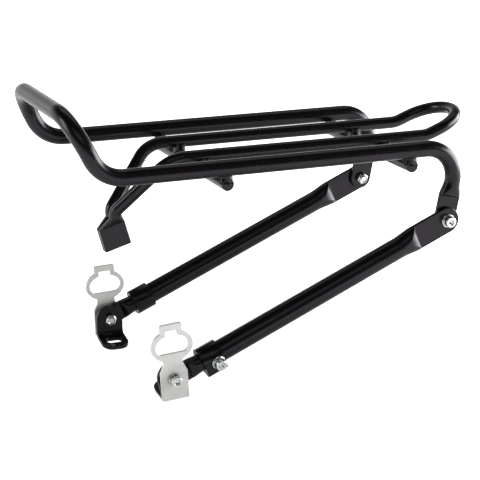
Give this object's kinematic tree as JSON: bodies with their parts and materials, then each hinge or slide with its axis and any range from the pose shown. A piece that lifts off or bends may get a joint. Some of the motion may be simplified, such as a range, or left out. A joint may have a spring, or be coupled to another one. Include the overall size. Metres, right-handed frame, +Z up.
{
  "type": "bicycle rear rack",
  "caption": "Black bicycle rear rack: bent rail platform with a front hoop, telescoping side struts, slotted foot brackets and bare metal axle plates.",
  "frame": {"origin": "centre of the flat fixing tongue at the front of the inner rail, on the rack's centre plane", "axes": "+X to the rear along the platform rails, +Y to the rider's right, +Z up"},
  "size_m": [0.3423, 0.18, 0.2177],
  "materials": {
    "black_paint": "semi-gloss black paint on steel",
    "plate_metal": "matt bare metal plate",
    "zinc": "bright zinc plating"
  },
  "bodies": {
    "rack": {"outer_rail_tube": "black_paint", "inner_rail_rod": "black_paint", "front_crossbar": "black_paint", "rear_crossbar": "black_paint", "front_weld_beads": "black_paint", "rear_weld_beads": "black_paint", "left_pivot_screw": "zinc", "left_pivot_washer": "zinc", "left_pivot_nut": "zinc", "right_pivot_screw": "zinc", "right_pivot_washer": "zinc", "right_pivot_nut": "zinc"},
    "left_strut": {"left_strut_tube": "black_paint", "left_clamp_collar": "black_paint", "left_clamp_screw": "zinc", "left_clamp_washer": "zinc"},
    "left_stay": {"left_stay_tube": "black_paint", "left_foot_screw": "zinc", "left_foot_washer": "zinc", "left_foot_nut": "zinc"},
    "left_bracket": {"left_foot_bracket": "black_paint"},
    "left_plate": {"left_axle_plate": "plate_metal"},
    "right_strut": {"right_strut_tube": "black_paint", "right_clamp_collar": "black_paint", "right_clamp_screw": "zinc", "right_clamp_washer": "zinc"},
    "right_stay": {"right_stay_tube": "black_paint", "right_foot_screw": "zinc", "right_foot_washer": "zinc", "right_foot_nut": "zinc"},
    "right_bracket": {"right_foot_bracket": "black_paint"},
    "right_plate": {"right_axle_plate": "plate_metal"}
  },
  "joints": [
    {"name": "left_strut_swing", "type": "hinge", "parent": "rack", "child": "left_strut", "pos_m": [0.2376, -0.0734, 0.006], "axis": [0, 1, 0], "range_deg": [-90, 20]},
    {"name": "left_stay_slide", "type": "slide", "parent": "left_strut", "child": "left_stay", "axis": [-0.9186, 0, -0.3953], "range_m": [0, 0.09]},
    {"name": "left_bracket_tilt", "type": "hinge", "parent": "left_stay", "child": "left_bracket", "pos_m": [0.018, -0.0702, -0.0885], "axis": [0, 1, 0], "range_deg": [-15, 100]},
    {"name": "left_plate_tilt", "type": "hinge", "parent": "left_stay", "child": "left_plate", "pos_m": [0.018, -0.0764, -0.0885], "axis": [0, 1, 0], "range_deg": [-35, 8]},
    {"name": "right_strut_swing", "type": "hinge", "parent": "rack", "child": "right_strut", "pos_m": [0.2376, 0.0734, 0.006], "axis": [0, 1, 0], "range_deg": [-90, 20]},
    {"name": "right_stay_slide", "type": "slide", "parent": "right_strut", "child": "right_stay", "axis": [-0.9186, 0, -0.3953], "range_m": [0, 0.09]},
    {"name": "right_bracket_tilt", "type": "hinge", "parent": "right_stay", "child": "right_bracket", "pos_m": [0.018, 0.0702, -0.0885], "axis": [0, 1, 0], "range_deg": [-30, 90]},
    {"name": "right_plate_tilt", "type": "hinge", "parent": "right_stay", "child": "right_plate", "pos_m": [0.018, 0.0764, -0.0885], "axis": [0, 1, 0], "range_deg": [-35, 8]}
  ]
}
